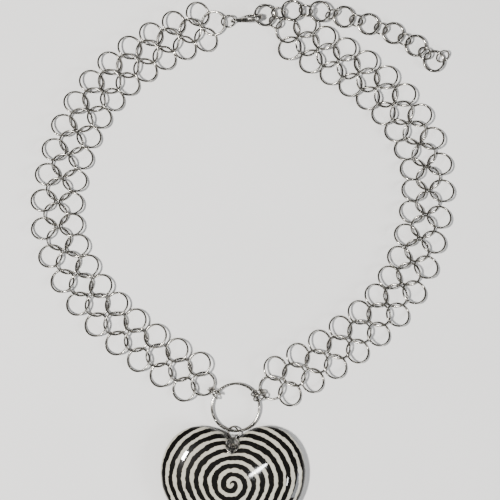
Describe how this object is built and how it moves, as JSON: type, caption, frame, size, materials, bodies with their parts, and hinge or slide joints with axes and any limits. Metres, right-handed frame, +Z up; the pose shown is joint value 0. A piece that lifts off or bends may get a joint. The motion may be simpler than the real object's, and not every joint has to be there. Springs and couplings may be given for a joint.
{
  "type": "necklace",
  "caption": "Flat-lying collar necklace of linked wire rings with a centre ring, a puffed heart pendant on a pinch bail, a lobster clasp and an extender chain.",
  "frame": {"origin": "middle of the neck opening, on the surface that the necklace lies on", "axes": "+Z up from the surface, -Y toward the pendant, +Y toward the clasp, +X toward the extender's free end"},
  "size_m": [0.1697, 0.2215, 0.0105],
  "materials": {
    "steel": "bright drawn wire",
    "heart_resin": "glossy clear coat over a painted black spiral"
  },
  "bodies": {
    "necklace": {"mail_left": "steel", "mail_right": "steel", "centre_ring": "steel", "left_link_upper": "steel", "left_link_lower": "steel", "right_link_upper": "steel", "right_link_lower": "steel", "pendant_link": "steel", "clasp_link": "steel", "bail": "steel", "heart": "heart_resin", "clasp": "steel", "extender_ring_1": "steel", "extender_ring_2": "steel", "extender_ring_3": "steel", "extender_ring_4": "steel", "extender_ring_5": "steel", "extender_ring_6": "steel", "extender_ring_7": "steel", "extender_ring_8": "steel", "extender_link_1": "steel", "extender_link_2": "steel", "extender_link_3": "steel", "extender_link_4": "steel", "extender_link_5": "steel", "extender_link_6": "steel", "extender_link_7": "steel", "band_link": "steel", "tail_link": "steel"},
    "lever": {"clasp_lever": "steel"}
  },
  "joints": [
    {"name": "clasp_lever_hinge", "type": "hinge", "parent": "necklace", "child": "lever", "pos_m": [0.00034, 0.07397, 0.00369], "axis": [-0.188, 0.9237, 0.3339], "range_deg": [0, 15], "stiffness_Nm_per_rad": 0.002}
  ]
}
